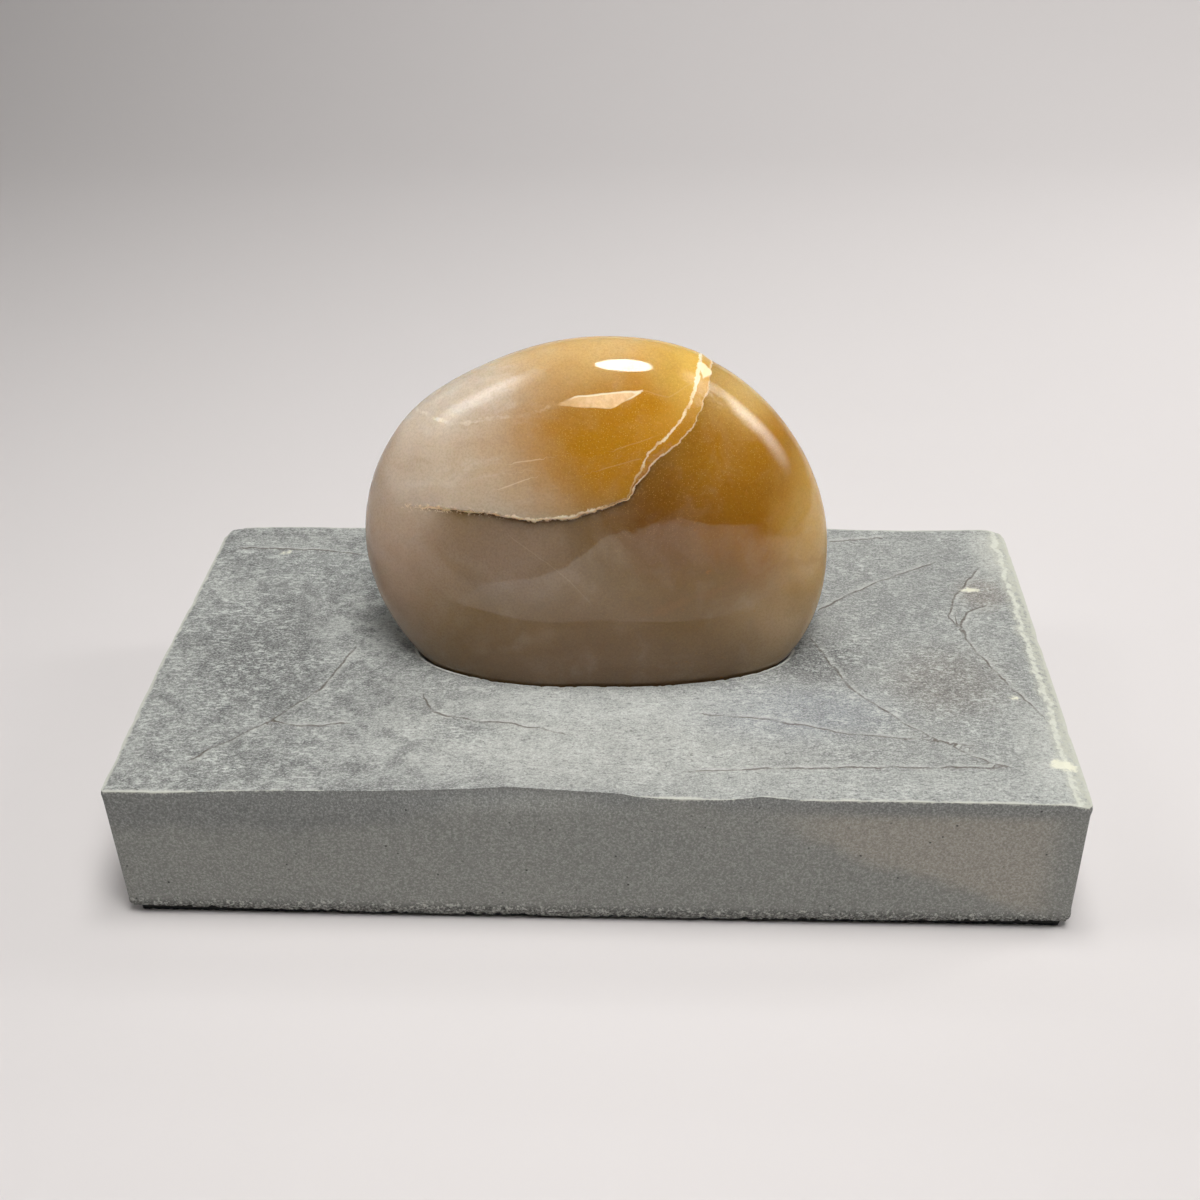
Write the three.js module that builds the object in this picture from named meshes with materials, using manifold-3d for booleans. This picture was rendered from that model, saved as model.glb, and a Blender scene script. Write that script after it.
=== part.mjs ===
import * as THREE from "three";
import { mergeVertices } from "three/addons/utils/BufferGeometryUtils.js";
import Module from "manifold-3d";

// A polished quartz pebble that stands on edge in a fitted socket of a sawn stone slab.
// Millimetres, +Z up, +X to the right, front towards -Y. The slab rests on z = 0 and is centred there.

// Slab of grey-green cleft stone, sawn on four sides
const SLAB_WIDTH = 180;
const SLAB_DEPTH = 95;
const SLAB_THICKNESS = 30;

// Riven underside: a flat middle to rest on, with the rim standing off the table round it
const REST_DROP = 1.5;
const REST_INSET = 6;
const REST_INSET_WAVE = 1.5;
const REST_WAVE_TURNS = [1.9, 0.7];
const RIM_LIFT = 1.1;
const RIM_LIFT_AT_ENDS = 0.7;
const RIM_ARRIS_HEIGHT = 2.2;
const RIM_ARRIS_INSET = 0.6;
const RIM_NARROWS_X = [70, 86];
const RIM_NARROWS_Y = [34, 44];
const SLAB_TOP = REST_DROP + SLAB_THICKNESS;

// Corners of the sawn outline, seen from above and counterclockwise: worn, one broken, one rounded
const CORNERS = {
  frontLeft: [[-90, -46.4], [-89, -47.5]],
  frontRight: [[88.8, -47.5], [90, -46.2]],
  backRight: [[90, 43.5], [89.2, 46.2], [86.5, 47.5]],
  backLeft: [[-84.5, 47.5], [-88.6, 44.2], [-90, 41.5]],
};
const SIDE_STEP = 5;

// Front top arris, left to right: place along X, how far it has worn back, how far it stands up
const FRONT_ARRIS = [
  [-90, 0, 0],
  [-80, 0, -0.2],
  [-62, 0.3, 0.3],
  [-38, 0.6, 0.5],
  [-22, 1.0, 0.9],
  [-15, 1.4, 1.2],
  [-3, 0.9, 0.8],
  [6, 0.6, 0.6],
  [9, 0.3, 0.2],
  [17, 0, 0],
  [25, 0.1, -0.1],
  [31, 0.5, 0.4],
  [39, 0.1, 0],
  [78, 0.1, 0.1],
  [90, 0, 0],
];
const ARRIS_WEAR_HEIGHT = 5;
const ARRIS_WEAR_REACH = 3;
const ARRIS_LIFT_REACH = 16;

// Worn bevels on the top face: width in from each sawn side, and how far the edge drops
const RIGHT_BEVEL = { width: 5, drop: 1.1 };
const LEFT_BEVEL = { width: 3, drop: 0.7 };
const FRONT_BEVEL = { width: 4.5, drop: 0.5, from: 15, to: 45 };

// Long low waves of the cleft top face: height, length along X, length along Y, phase
const TOP_WAVES = [
  [0.35, 31, 58, 0.4],
  [0.3, -74, 17, 1.3],
  [0.22, 14, -21, 2.1],
  [0.16, 9, 12, 0.2],
];
const WAVES_AT_FRONT = 0.35;
const TOP_CELLS_X = 44;
const TOP_CELLS_Y = 24;
const TOP_MARGIN = 3;
const BLOCK_ABOVE_TOP = 4;
const TOP_EDGE_CROWDING = 0.35;

// Pebble: centre to outline every 30 degrees, from +X over the crown, in its own upright plane
const PEBBLE_RADII = [45.75, 43.75, 42.5, 40.5, 41, 45, 46.25, 44.25, 40.75, 36.25, 40, 46];
const PEBBLE_HALF_THICKNESS = 17.5;
const PEBBLE_LEAN = -0.22;
const PEBBLE_X = -0.5;
const PEBBLE_Y = 3.5;
const PEBBLE_ABOVE_TOP = 23.7;
const PEBBLE_FACETS = 14;
const SOCKET_FACETS = 11;
const SOCKET_GAP = 0.4;

// Old break across the front of the pebble, from its left end up to the crown: the stone above
// it stands proud, and the stone below and to the right is sunk, with a ledge between them
const BREAK_LINE = [
  [-37, 9.6],
  [-32.5, 10.1],
  [-27.5, 10.2],
  [-20, 10],
  [-16.5, 9.6],
  [-12, 8.8],
  [-7.5, 9.3],
  [-4, 9.5],
  [0, 10.8],
  [5, 12.5],
  [7, 13.4],
  [8.5, 15.8],
  [10, 17.7],
  [12, 20.3],
  [15.5, 22.7],
  [18.5, 25.5],
  [20.3, 28.4],
  [21.5, 31.5],
  [22.5, 36],
];
const LEDGE_DEPTH = 1.1;
const LEDGE_RUN_OUT = 0.2;
const LEDGE_REACH = 24;
const LEDGE_FADES_IN = [-37, -20];
const LEDGE_FADES_BACK = [0, 9];
const BREAK_SIDE_BACK = 12;
const BREAK_SIDE_REACH = 70;
const BREAK_RUNS_ON = 4;

const wasm = await Module();
wasm.setup();

function solidOf(geometry) {
  geometry.deleteAttribute("normal");
  geometry.deleteAttribute("uv");
  const merged = mergeVertices(geometry, 1e-3);
  return new wasm.Manifold(
    new wasm.Mesh({
      numProp: 3,
      vertProperties: new Float32Array(merged.attributes.position.array),
      triVerts: new Uint32Array(merged.index.array),
    }),
  );
}

function geometryOf(solid) {
  const mesh = solid.getMesh();
  const geometry = new THREE.BufferGeometry();
  geometry.setAttribute("position", new THREE.BufferAttribute(mesh.vertProperties, 3));
  geometry.setIndex(new THREE.BufferAttribute(mesh.triVerts, 1));
  return geometry;
}

function moveVertices(geometry, move) {
  const position = geometry.attributes.position;
  const point = new THREE.Vector3();
  for (let i = 0; i < position.count; i++) {
    point.fromBufferAttribute(position, i);
    move(point);
    position.setXYZ(i, point.x, point.y, point.z);
  }
  return geometry;
}

// Value in a column of rows sorted by their first entry, straight between the rows
function along(rows, column, at) {
  const next = rows.findIndex((row) => row[0] >= at);
  if (next < 0) return rows[rows.length - 1][column];
  if (next === 0) return rows[0][column];
  const [a, b] = [rows[next - 1], rows[next]];
  return THREE.MathUtils.mapLinear(at, a[0], b[0], a[column], b[column]);
}

// Quartz pebble

function outlineRadius(angle) {
  const count = PEBBLE_RADII.length;
  const turn = (((angle / (2 * Math.PI)) % 1) + 1) % 1;
  const place = turn * count;
  const i = Math.floor(place) % count;
  const t = place - Math.floor(place);
  const [a, b, c, d] = [count - 1, 0, 1, 2].map((k) => PEBBLE_RADII[(i + k) % count]);
  return b + 0.5 * t * (c - a + t * (2 * a - 5 * b + 4 * c - d + t * (3 * (b - c) + d - a)));
}

// The full pebble in its own frame, grown outwards by an amount that depends on the point
function pebbleGeometry(facets, growth) {
  const normal = new THREE.Vector3();
  return moveVertices(new THREE.IcosahedronGeometry(1, facets), (point) => {
    const radius = outlineRadius(Math.atan2(point.z, point.x));
    normal.set(point.x / radius, point.y / PEBBLE_HALF_THICKNESS, point.z / radius).normalize();
    point.set(point.x * radius, point.y * PEBBLE_HALF_THICKNESS, point.z * radius);
    point.addScaledVector(normal, growth(point));
  });
}

const breakPoints = BREAK_LINE.map(([x, z]) => new THREE.Vector3(x, 0, z));
const breakPieces = breakPoints.slice(1).map((end, i) => new THREE.Line3(breakPoints[i], end));

function distanceToBreak(point) {
  const onFace = new THREE.Vector3(point.x, 0, point.z);
  const nearest = new THREE.Vector3();
  return Math.min(
    ...breakPieces.map((piece) => piece.closestPointToPoint(onFace, true, nearest).distanceTo(onFace)),
  );
}

// How far the sunk side lies under the polished face. Past its run-out it would stand above it.
function sunkDepth(point) {
  const left = THREE.MathUtils.smoothstep(point.x, ...LEDGE_FADES_IN);
  const back = 1 - THREE.MathUtils.smoothstep(point.y, ...LEDGE_FADES_BACK);
  const away = 1 - THREE.MathUtils.smoothstep(distanceToBreak(point), 0, LEDGE_REACH);
  return LEDGE_DEPTH * left * back * away - LEDGE_RUN_OUT;
}

// The space in front of the pebble, below and to the right of the break
function sunkSideGeometry() {
  const reach = BREAK_SIDE_REACH;
  const side = new THREE.Shape();
  side.moveTo(-reach, BREAK_LINE[0][1]);
  BREAK_LINE.forEach(([x, z]) => side.lineTo(x, z));
  side.lineTo(BREAK_LINE[BREAK_LINE.length - 1][0] + BREAK_RUNS_ON, reach);
  side.lineTo(reach, reach);
  side.lineTo(reach, -reach);
  side.lineTo(-reach, -reach);
  return new THREE.ExtrudeGeometry(side, { depth: reach, bevelEnabled: false, steps: 1 })
    .rotateX(Math.PI / 2)
    .translate(0, BREAK_SIDE_BACK, 0);
}

function quartzGeometry() {
  const whole = solidOf(pebbleGeometry(PEBBLE_FACETS, () => 0));
  const sunk = solidOf(pebbleGeometry(PEBBLE_FACETS, (point) => -sunkDepth(point)));
  const sunkSide = solidOf(sunkSideGeometry());
  return geometryOf(whole.subtract(sunkSide.subtract(sunk)));
}

function placePebble(object) {
  object.rotation.x = PEBBLE_LEAN;
  object.position.set(PEBBLE_X, PEBBLE_Y, SLAB_TOP + PEBBLE_ABOVE_TOP);
  object.updateMatrix();
  return object;
}

// Stone slab

function sawnOutline() {
  const corners = Object.values(CORNERS).map((points) => points.map((p) => new THREE.Vector2(...p)));
  const outline = [];
  corners.forEach((corner, i) => {
    outline.push(...corner);
    const from = corner[corner.length - 1];
    const to = corners[(i + 1) % corners.length][0];
    const steps = Math.round(from.distanceTo(to) / SIDE_STEP);
    for (let k = 1; k < steps; k++) outline.push(from.clone().lerp(to, k / steps));
  });
  return outline;
}

// Pulls an outline point towards the middle of the slab, along each axis that it is near the end of
function inset(point, amount) {
  const pullX = amount * THREE.MathUtils.smoothstep(Math.abs(point.x), ...RIM_NARROWS_X);
  const pullY = amount * THREE.MathUtils.smoothstep(Math.abs(point.y), ...RIM_NARROWS_Y);
  return [point.x - Math.sign(point.x) * pullX, point.y - Math.sign(point.y) * pullY];
}

function rimLift(x) {
  return RIM_LIFT + RIM_LIFT_AT_ENDS * (2 * x / SLAB_WIDTH) ** 2;
}

function ring(outline, height, insetBy) {
  return outline.map((point, i) => new THREE.Vector3(...inset(point, insetBy(point, i)), height(point)));
}

// The front face wears back towards its top arris
function frontWear(point) {
  const front = 1 - THREE.MathUtils.smoothstep(point.y + SLAB_DEPTH / 2, 0, ARRIS_WEAR_REACH);
  return front * along(FRONT_ARRIS, 1, point.x);
}

// Closed body through a stack of rings that have equal numbers of points
function loft(rings) {
  const count = rings[0].length;
  const vertices = rings.flat().flatMap((point) => point.toArray());
  const index = [];
  for (let level = 0; level < rings.length - 1; level++) {
    for (let i = 0; i < count; i++) {
      const a = level * count + i;
      const b = level * count + ((i + 1) % count);
      index.push(a, b, b + count, a, b + count, a + count);
    }
  }
  const cap = (points) => THREE.ShapeUtils.triangulateShape(
    points.map((point) => new THREE.Vector2(point.x, point.y)),
    [],
  );
  const last = (rings.length - 1) * count;
  cap(rings[0]).forEach(([a, b, c]) => index.push(c, b, a));
  cap(rings[rings.length - 1]).forEach(([a, b, c]) => index.push(a + last, b + last, c + last));
  const geometry = new THREE.BufferGeometry();
  geometry.setAttribute("position", new THREE.Float32BufferAttribute(vertices, 3));
  geometry.setIndex(index);
  return geometry;
}

function sawnBlockGeometry() {
  const outline = sawnOutline();
  const [quick, slow] = REST_WAVE_TURNS;
  const restInset = (point, i) => REST_INSET + REST_INSET_WAVE * Math.sin(quick * i) * Math.cos(slow * i);
  return loft([
    ring(outline, () => 0, restInset),
    ring(outline, (point) => rimLift(point.x), () => RIM_ARRIS_INSET),
    ring(outline, () => RIM_ARRIS_HEIGHT + RIM_LIFT, () => 0),
    ring(outline, () => SLAB_TOP - ARRIS_WEAR_HEIGHT, () => 0),
    ring(outline, () => SLAB_TOP, frontWear),
    ring(outline, () => SLAB_TOP + BLOCK_ABOVE_TOP, frontWear),
  ]);
}

function bevelDrop(bevel, distance) {
  return bevel.drop * (1 - THREE.MathUtils.smoothstep(distance, 0, bevel.width));
}

function topHeight(x, y) {
  const waves = TOP_WAVES.reduce(
    (sum, [height, lengthX, lengthY, phase]) => sum + height * Math.sin(x / lengthX + y / lengthY + phase),
    0,
  );
  const fromFront = y + SLAB_DEPTH / 2;
  const inFromEdge = THREE.MathUtils.smoothstep(fromFront, 0, ARRIS_LIFT_REACH);
  const frontBevelShare = THREE.MathUtils.smoothstep(x, FRONT_BEVEL.from, FRONT_BEVEL.to);
  return SLAB_TOP
    + waves * (WAVES_AT_FRONT + (1 - WAVES_AT_FRONT) * inFromEdge)
    + (1 - inFromEdge) * along(FRONT_ARRIS, 2, x)
    - bevelDrop(RIGHT_BEVEL, SLAB_WIDTH / 2 - x)
    - bevelDrop(LEFT_BEVEL, x + SLAB_WIDTH / 2)
    - frontBevelShare * bevelDrop(FRONT_BEVEL, fromFront);
}

// Everything under the cleft top face, wider than the slab, with its grid closer near the sides
function underTopGeometry() {
  const crowd = (u) => (1 - TOP_EDGE_CROWDING) * u + TOP_EDGE_CROWDING * Math.sin((u * Math.PI) / 2);
  const box = new THREE.BoxGeometry(2, 2, 2, TOP_CELLS_X, TOP_CELLS_Y, 1);
  return moveVertices(box, (point) => {
    const x = crowd(point.x) * (SLAB_WIDTH / 2 + TOP_MARGIN);
    const y = crowd(point.y) * (SLAB_DEPTH / 2 + TOP_MARGIN);
    point.set(x, y, point.z > 0 ? topHeight(x, y) : -SLAB_THICKNESS);
  });
}

function slabGeometry() {
  const socket = pebbleGeometry(SOCKET_FACETS, () => SOCKET_GAP);
  socket.applyMatrix4(placePebble(new THREE.Object3D()).matrix);
  const block = solidOf(sawnBlockGeometry()).intersect(solidOf(underTopGeometry()));
  return geometryOf(block.subtract(solidOf(socket)));
}

const quartz = placePebble(
  new THREE.Mesh(
    quartzGeometry(),
    new THREE.MeshStandardMaterial({ color: 0xb98d4e, roughness: 0.12, metalness: 0 }),
  ),
);
quartz.name = "quartz_pebble";

const slab = new THREE.Mesh(
  slabGeometry(),
  new THREE.MeshStandardMaterial({ color: 0x8f918c, roughness: 0.85, metalness: 0 }),
);
slab.name = "stone_slab";

const specimen = new THREE.Group();
specimen.add(slab, quartz);

export default specimen;
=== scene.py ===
# %% [markdown]
# # A polished quartz pebble on a sawn stone slab
# A palm-sized cloudy quartz, amber at the crown and milky at the shoulder, stands on edge in a
# socket of a grey-green slab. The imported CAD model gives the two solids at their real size. This
# script dresses them: each solid is replaced by a finer mesh of the same form, with its break,
# its worn edges and its grain, and both get procedural materials.

# %% Load the frame
import math
from types import SimpleNamespace

import bmesh
import bpy
import numpy as np
from mathutils import Matrix, Vector, noise


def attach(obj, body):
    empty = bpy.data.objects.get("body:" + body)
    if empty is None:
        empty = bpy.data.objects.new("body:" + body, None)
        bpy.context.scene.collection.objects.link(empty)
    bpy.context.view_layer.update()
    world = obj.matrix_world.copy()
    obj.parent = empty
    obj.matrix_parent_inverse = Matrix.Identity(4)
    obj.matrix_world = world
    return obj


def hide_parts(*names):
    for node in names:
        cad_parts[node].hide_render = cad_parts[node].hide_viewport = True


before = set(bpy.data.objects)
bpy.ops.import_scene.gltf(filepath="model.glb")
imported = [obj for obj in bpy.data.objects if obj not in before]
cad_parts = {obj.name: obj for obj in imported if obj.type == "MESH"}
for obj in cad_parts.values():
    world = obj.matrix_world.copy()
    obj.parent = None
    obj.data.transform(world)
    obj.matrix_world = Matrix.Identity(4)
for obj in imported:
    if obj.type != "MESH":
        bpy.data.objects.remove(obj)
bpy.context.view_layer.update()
MM = 0.001

# %% [markdown]
# ## The camera
# The slab's corners and the pebble's outline in the picture give the camera: where it stands, where
# it looks and how long its lens is. The picture is square, and the lens is worked out from its width.

# %% Camera
PICTURE_SIDE_PX = 1200
LENS_PX = 1517.95
SENSOR_MM = 36
CAMERA_MM = Vector((15.733, -255.274, 212.418))
CAMERA_YAW = math.radians(-3.5063)
CAMERA_PITCH = math.radians(33.5356)
CAMERA_ROLL = math.radians(-1.5194)

camera_data = bpy.data.cameras.new("camera")
camera_data.sensor_fit = "HORIZONTAL"
camera_data.sensor_width = SENSOR_MM
camera_data.lens = LENS_PX / PICTURE_SIDE_PX * SENSOR_MM
camera_data.clip_start = 0.01
camera_data.clip_end = 20
camera = bpy.data.objects.new("camera", camera_data)
camera.matrix_world = (
    Matrix.Translation(CAMERA_MM * MM)
    @ Matrix.Rotation(-CAMERA_YAW, 4, "Z")
    @ Matrix.Rotation(math.radians(90) - CAMERA_PITCH, 4, "X")
    @ Matrix.Rotation(CAMERA_ROLL, 4, "Z")
)
scene = bpy.context.scene
scene.collection.objects.link(camera)
scene.camera = camera
print("lens", round(camera_data.lens, 2), "mm")

# %% [markdown]
# ## Measures that both solids share
# The same few dimensions that make the CAD solids also make the fine meshes, so the dressed part
# is as large as the solid one. The pebble is twelve radii in its own upright plane and one half
# thickness. The slab is a box with worn edges.

# %% Dimensions in millimetres
SLAB_WIDTH = 180
SLAB_DEPTH = 95
SLAB_TOP = 31.5
RIM_LIFT = 1.3
RIM_LIFT_AT_ENDS = 1.0
RECESS_AT = (0.9, 1.5)

PEBBLE_RADII = np.array((45.75, 43.75, 42.5, 40.5, 41, 45, 46.25, 44.25, 40.75, 36.25, 40, 46))
PEBBLE_HALF_THICKNESS = 17.5
PEBBLE_LEAN = -0.22
PEBBLE_CENTRE = Vector((-0.5, 3.5, SLAB_TOP + 23.7))
SOCKET_GAP = 0.4


def smooth_step(value, low, high):
    t = np.clip((np.asarray(value, float) - low) / (high - low), 0, 1)
    return t * t * (3 - 2 * t)


def outline_radius(angle):
    place = np.mod(angle / (2 * np.pi), 1) * len(PEBBLE_RADII)
    i = np.floor(place).astype(int)
    t = place - i
    a, b, c, d = (PEBBLE_RADII[(i + k) % len(PEBBLE_RADII)] for k in (-1, 0, 1, 2))
    return b + 0.5 * t * (c - a + t * (2 * a - 5 * b + 4 * c - d + t * (3 * (b - c) + d - a)))


print("pebble outline radius over the crown:", outline_radius(np.pi / 2).round(1), "mm")

# %% [markdown]
# ## Helpers for fine meshes
# Both pieces start as a bmesh of even cells. Cells are split again only where something small
# happens: along the break of the pebble, at the edges of the slab, round the socket. A finished
# mesh is then moved point by point, with all its points in one numpy array.

# %% Mesh helpers
def split_cells_near(bm, is_near, times):
    """Splits every edge whose middle passes is_near, a number of times."""
    for _ in range(times):
        middles = np.array([(e.verts[0].co + e.verts[1].co) / 2 for e in bm.edges])
        wanted = is_near(middles)
        edges = [e for e, near in zip(bm.edges, wanted) if near]
        bmesh.ops.subdivide_edges(bm, edges=edges, cuts=1, use_grid_fill=True)
        bmesh.ops.triangulate(bm, faces=[f for f in bm.faces if len(f.verts) > 4])


def mesh_from(bm, name):
    mesh = bpy.data.meshes.new(name)
    bm.to_mesh(mesh)
    bm.free()
    return mesh


def vectors_of(items, name):
    values = np.empty(len(items) * 3)
    items.foreach_get(name, values)
    return values.reshape(-1, 3)


def points_of(mesh):
    return vectors_of(mesh.vertices, "co")


def set_points(mesh, points):
    mesh.vertices.foreach_set("co", points.ravel())
    mesh.update()


def store(mesh, name, values):
    attribute = mesh.attributes.new(name, "FLOAT", "POINT")
    attribute.data.foreach_set("value", np.asarray(values, np.float32))


def shade_smooth(mesh):
    mesh.polygons.foreach_set("use_smooth", np.ones(len(mesh.polygons), bool))


def put_in_scene(mesh):
    piece = bpy.data.objects.new(mesh.name, mesh)
    scene.collection.objects.link(piece)
    return piece


def roughness_of(points, cell, octaves=3, seed=0.0):
    """Fractal noise in about -1 to 1, with lumps of one cell, at each point."""
    shift = Vector((seed, -seed, 0.5 * seed))
    return np.array([noise.fractal(Vector(p) / cell + shift, 0.9, 2.1, octaves) for p in points])


def line_distance(points, line):
    """Distance of flat points from a line of corners, with its sign: more than 0 on its left."""
    best = np.full(len(points), np.inf)
    sign = np.ones(len(points))
    for start, end in zip(line[:-1], line[1:]):
        start, end = np.array(start, float), np.array(end, float)
        run = end - start
        offset = points - start
        share = np.clip(offset @ run / (run @ run), 0, 1)
        away = np.hypot(*(offset - share[:, None] * run).T)
        side = np.where(run[0] * offset[:, 1] - run[1] * offset[:, 0] >= 0, 1.0, -1.0)
        nearer = away < best
        best[nearer] = away[nearer]
        sign[nearer] = side[nearer]
    return best * sign


def nearest_line(points, lines):
    """Signed distance of flat points from the nearest of many lines."""
    best = np.full(len(points), 99.0)
    for line in lines:
        distance = line_distance(points, line)
        nearer = np.abs(distance) < np.abs(best)
        best[nearer] = distance[nearer]
    return best


def depth_inside(points, corners):
    """How far flat points lie inside a convex outline with counterclockwise corners."""
    depths = []
    for start, end in zip(corners, corners[1:] + corners[:1]):
        run = np.subtract(end, start)
        inwards = np.array((-run[1], run[0])) / np.hypot(*run)
        depths.append((points - start) @ inwards)
    return np.min(depths, axis=0)


# %% [markdown]
# ## The quartz pebble
# The real stone is one piece, ground round and polished. An old break runs across its front: the
# block above it stands about a millimetre proud, with a chipped cream edge. The pebble starts as
# an icosphere, because that has even triangles and no poles. It is split finer along the break,
# so that the ledge is real relief and not only a painted line.

# %% The break line and the ledge
BREAK_LINE = [
    (-60, 8.6), (-37, 9.6), (-32.5, 10.1), (-27.5, 10.2), (-20, 10), (-16.5, 9.6), (-12, 8.8),
    (-7.5, 9.3), (-4, 9.5), (0, 10.8), (5, 12.5), (7, 13.4), (8.5, 15.8), (10, 17.7), (12, 20.3),
    (15.5, 22.7), (18.5, 25.5), (20.3, 28.4), (21.5, 31.5), (22.5, 36), (23.5, 46),
]
LEDGE_DEPTH = 0.9
LEDGE_FADES_IN = (-38, -20)
LEDGE_FADES_BACK = (0, 9)
LEDGE_SHALLOWS_BETWEEN = (12, 24)
LEDGE_SHARE_UP_THERE = 0.4
PEBBLE_SPLITS = 7
BREAK_SPLITS = 2
BREAK_BAND = 1.8
BREAK_BAND_BACK = 8


def ledge_reach(flat):
    return np.interp(flat[:, 0], (-8, 12), (14, 24))


def riser_width(flat):
    return np.interp(flat[:, 1], (13, 16, 20, 25), (0.35, 0.6, 1.6, 2.4))


def half_sizes(points):
    """The pebble's half width, thickness and height in the direction of each point."""
    radius = outline_radius(np.arctan2(points[:, 2], points[:, 0]))
    return np.stack((radius, np.full_like(radius, PEBBLE_HALF_THICKNESS), radius), axis=1)


def pebble_points(unit, growth=0.0):
    """Points of a unit ball moved to the full pebble, in its own frame in mm, and its normals."""
    scale = half_sizes(unit)
    normal = unit / scale
    normal /= np.linalg.norm(normal, axis=1)[:, None]
    return unit * scale + growth * normal, normal


def near_break(unit):
    points, _ = pebble_points(unit)
    distance = np.abs(line_distance(points[:, (0, 2)], BREAK_LINE))
    reach = BREAK_BAND + 0.6 * riser_width(points[:, (0, 2)])
    return (distance < reach) & (points[:, 1] < BREAK_BAND_BACK)


def unit_ball(name, splits, is_near=None, times=0):
    """An icosphere, split finer where is_near says so, and its points at a distance of 1."""
    bm = bmesh.new()
    bmesh.ops.create_icosphere(bm, subdivisions=splits, radius=1)
    split_cells_near(bm, is_near, times)
    mesh = mesh_from(bm, name)
    points = points_of(mesh)
    return mesh, points / np.linalg.norm(points, axis=1)[:, None]


quartz_mesh, ball = unit_ball("quartz_body", PEBBLE_SPLITS, near_break, BREAK_SPLITS)
body, body_normal = pebble_points(ball)
print("pebble points:", len(body), "faces:", len(quartz_mesh.polygons))

# %% [markdown]
# The break is shaped by the distance from its line. Below the line the stone is sunk, most at
# the line itself, and comes back to the polished face further down. Between the two faces runs
# the riser, narrow along the left stretch and a broad slanting band under the crown.

# %% Cut the ledge
SWELLING_AT = (25, 21)
SWELLING_REACH = 17
SWELLING_HEIGHT = 0.6
WAVER = 0.12

flat = body[:, (0, 2)]
jag = 0.3 * roughness_of(body, 2.0, 4, 3.0) + 0.1 * roughness_of(body, 0.6, 3, 5.0)
break_mm = line_distance(flat, BREAK_LINE) + jag
ledge_share = smooth_step(flat[:, 0], *LEDGE_FADES_IN)
ledge_share *= 1 - smooth_step(body[:, 1], *LEDGE_FADES_BACK)
climb = smooth_step(break_mm / riser_width(flat), 0, 1)
run_out = 1 - smooth_step(-break_mm / ledge_reach(flat), 0, 1)
shallower = np.interp(flat[:, 1], LEDGE_SHALLOWS_BETWEEN, (1, LEDGE_SHARE_UP_THERE))
sunk = LEDGE_DEPTH * ledge_share * shallower * (1 - climb) * np.where(break_mm > 0, 1, run_out)
ragged = 0.05 * ledge_share * np.exp(-np.abs(break_mm) / 0.5) * roughness_of(body, 0.8, 3, 9.0)
front = 1 - smooth_step(body[:, 1], -6, 4)
swell_far = np.hypot(flat[:, 0] - SWELLING_AT[0], flat[:, 1] - SWELLING_AT[1]) / SWELLING_REACH
swelling = SWELLING_HEIGHT * front * np.exp(-swell_far**2) * smooth_step(-break_mm, 0, 6)
waver = WAVER * roughness_of(body, 22, 2, 1.0)
body = body + body_normal * (waver + swelling - sunk + ragged)[:, None]
print("deepest ledge:", sunk.max().round(2), "mm")

# %% Place the pebble in its socket
pebble_place = Matrix.Translation(PEBBLE_CENTRE) @ Matrix.Rotation(PEBBLE_LEAN, 4, "X")


def to_slab_frame(points):
    turned = points @ np.array(pebble_place.to_3x3()).T
    return turned + np.array(pebble_place.translation)


set_points(quartz_mesh, to_slab_frame(body) * MM)
store(quartz_mesh, "break_mm", break_mm)
store(quartz_mesh, "arris_mm", break_mm - riser_width(flat))
store(quartz_mesh, "ledge_share", ledge_share)
shade_smooth(quartz_mesh)
quartz_body = put_in_scene(quartz_mesh)
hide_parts("quartz_pebble")
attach(quartz_body, "root")
print("pebble stands", to_slab_frame(body)[:, 2].max().round(1), "mm high with the slab")

# %% [markdown]
# The small marks of the front face are flat lines and outlines, in millimetres from the pebble's
# centre. The mesh stores the signed distance from each kind. Between the points of a fine mesh a
# distance stays exact, so the material can draw a mark much thinner than a cell.

# %% Marks on the pebble
FEATHER = [(-6.9, 30.1), (-3.1, 29.7), (3.8, 29.6), (9.9, 32.5), (3.4, 32.1), (-2.7, 31.5)]
CROWN_CHIP = [(19.6, 36.2), (20.9, 34.2), (22.4, 34.6), (23.4, 38.5), (20.2, 39.2)]
CAP_EDGE = [
    (-34.3, 27.2), (-32.7, 26.8), (-30.1, 26.3), (-27.2, 25.8), (-23.2, 26.3), (-18.3, 27.4),
    (-13.5, 28), (-9.7, 28.6), (-6.9, 30.1),
]
SCRATCHES = [
    [(-14.6, 19.7), (-9.3, 20.6)],
    [(-16.9, 15.0), (-11.7, 16.9)],
    [(4.6, 22.4), (11.2, 24.4)],
    [(1.6, 18.7), (9.1, 20.7)],
    [(9.9, 32.5), (14.2, 31.2), (18.3, 33.1)],
    [(-15.4, 5.6), (-10.5, 2.2), (-6.6, -0.6), (-3.5, -3.4), (-0.2, -7.2)],
]
BROWN_SEAM = [(12, -9.2), (18.7, -6.9), (23.4, -5.2), (28.2, -3.5), (32.1, -1.5), (38, -1.2), (45, -2.7)]
BEHIND = 9.0

sway = 0.35 * roughness_of(body, 3.5, 4, 12.0)
at_back = BEHIND * smooth_step(body[:, 1], -4, 0)
store(quartz_mesh, "feather_mm", depth_inside(flat, FEATHER) + 0.5 * sway - at_back)
store(quartz_mesh, "chip_mm", depth_inside(flat, CROWN_CHIP) + sway - at_back)
store(quartz_mesh, "cap_mm", line_distance(flat, CAP_EDGE) + sway)
store(quartz_mesh, "scratch_mm", nearest_line(flat, SCRATCHES) + 0.4 * sway)
store(quartz_mesh, "seam_mm", line_distance(flat, BROWN_SEAM) + 1.5 * sway)
store(quartz_mesh, "front_share", 1 - smooth_step(body[:, 1], -3, 2))
print("marks on the pebble:", 4 + len(SCRATCHES))

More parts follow.
